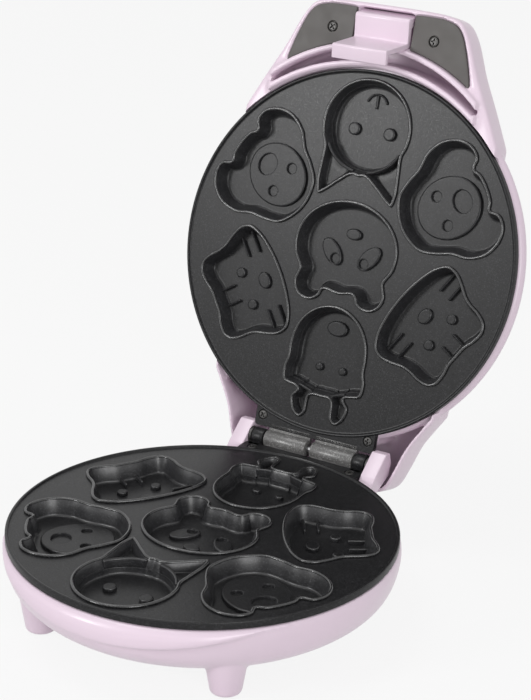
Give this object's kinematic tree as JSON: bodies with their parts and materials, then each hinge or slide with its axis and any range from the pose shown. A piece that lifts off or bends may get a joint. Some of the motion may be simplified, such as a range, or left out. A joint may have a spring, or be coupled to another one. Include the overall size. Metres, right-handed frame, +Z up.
{
  "type": "mini cookie maker",
  "caption": "Round countertop cookie maker with animal-head moulds in both non-stick plates, a hinged lid with a handle and a front clip.",
  "frame": {"origin": "under the middle of the open cookie maker, on the table", "axes": "+Z up, +Y towards the hinge and the open lid, +X to the right seen from the front"},
  "size_m": [0.214, 0.3166, 0.2941],
  "materials": {
    "ceramic": "matt",
    "cover": "gloss",
    "lamp_green": "clear tinted",
    "lamp_red": "clear tinted",
    "nonstick": "satin non-stick coating",
    "rubber": "matt",
    "shell": "satin",
    "steel": "satin"
  },
  "bodies": {
    "base": {"base_shell": "shell", "base_plate": "nonstick", "base_element": "steel", "base_reflector": "steel", "thermostat": "ceramic", "thermal_fuse": "ceramic", "terminal_block": "ceramic", "hinge_pin": "steel", "base_flange_screw_right": "steel", "base_flange_screw_left": "steel", "base_screw_1": "steel", "base_screw_2": "steel", "base_screw_3": "steel", "base_screw_4": "steel", "foot_pad_1": "rubber", "foot_pad_2": "rubber", "foot_pad_3": "rubber", "foot_pad_4": "rubber"},
    "lid": {"lid_shell": "shell", "lid_plate": "nonstick", "lid_element": "steel", "lid_reflector": "steel", "lid_flange_screw_left": "steel", "lid_flange_screw_right": "steel", "lid_sheet_screw_1": "steel", "lid_sheet_screw_2": "steel", "lid_sheet_screw_3": "steel", "lid_sheet_screw_4": "steel", "handle_cover_right": "cover", "cover_screw_right": "steel", "handle_cover_left": "cover", "cover_screw_left": "steel", "ready_lamp_lens": "lamp_green", "power_lamp_lens": "lamp_red", "latch_pin": "steel"},
    "latch_body": {"latch": "shell"}
  },
  "joints": [
    {"name": "lid_hinge", "type": "hinge", "parent": "base", "child": "lid", "pos_m": [0, 0.0648, 0.0491], "axis": [1, 0, 0], "range_deg": [0, 106.17]},
    {"name": "latch_pivot", "type": "hinge", "parent": "lid", "child": "latch_body", "pos_m": [0, 0.13895, 0.28721], "axis": [-1, 0, 0], "range_deg": [0, 14]}
  ]
}
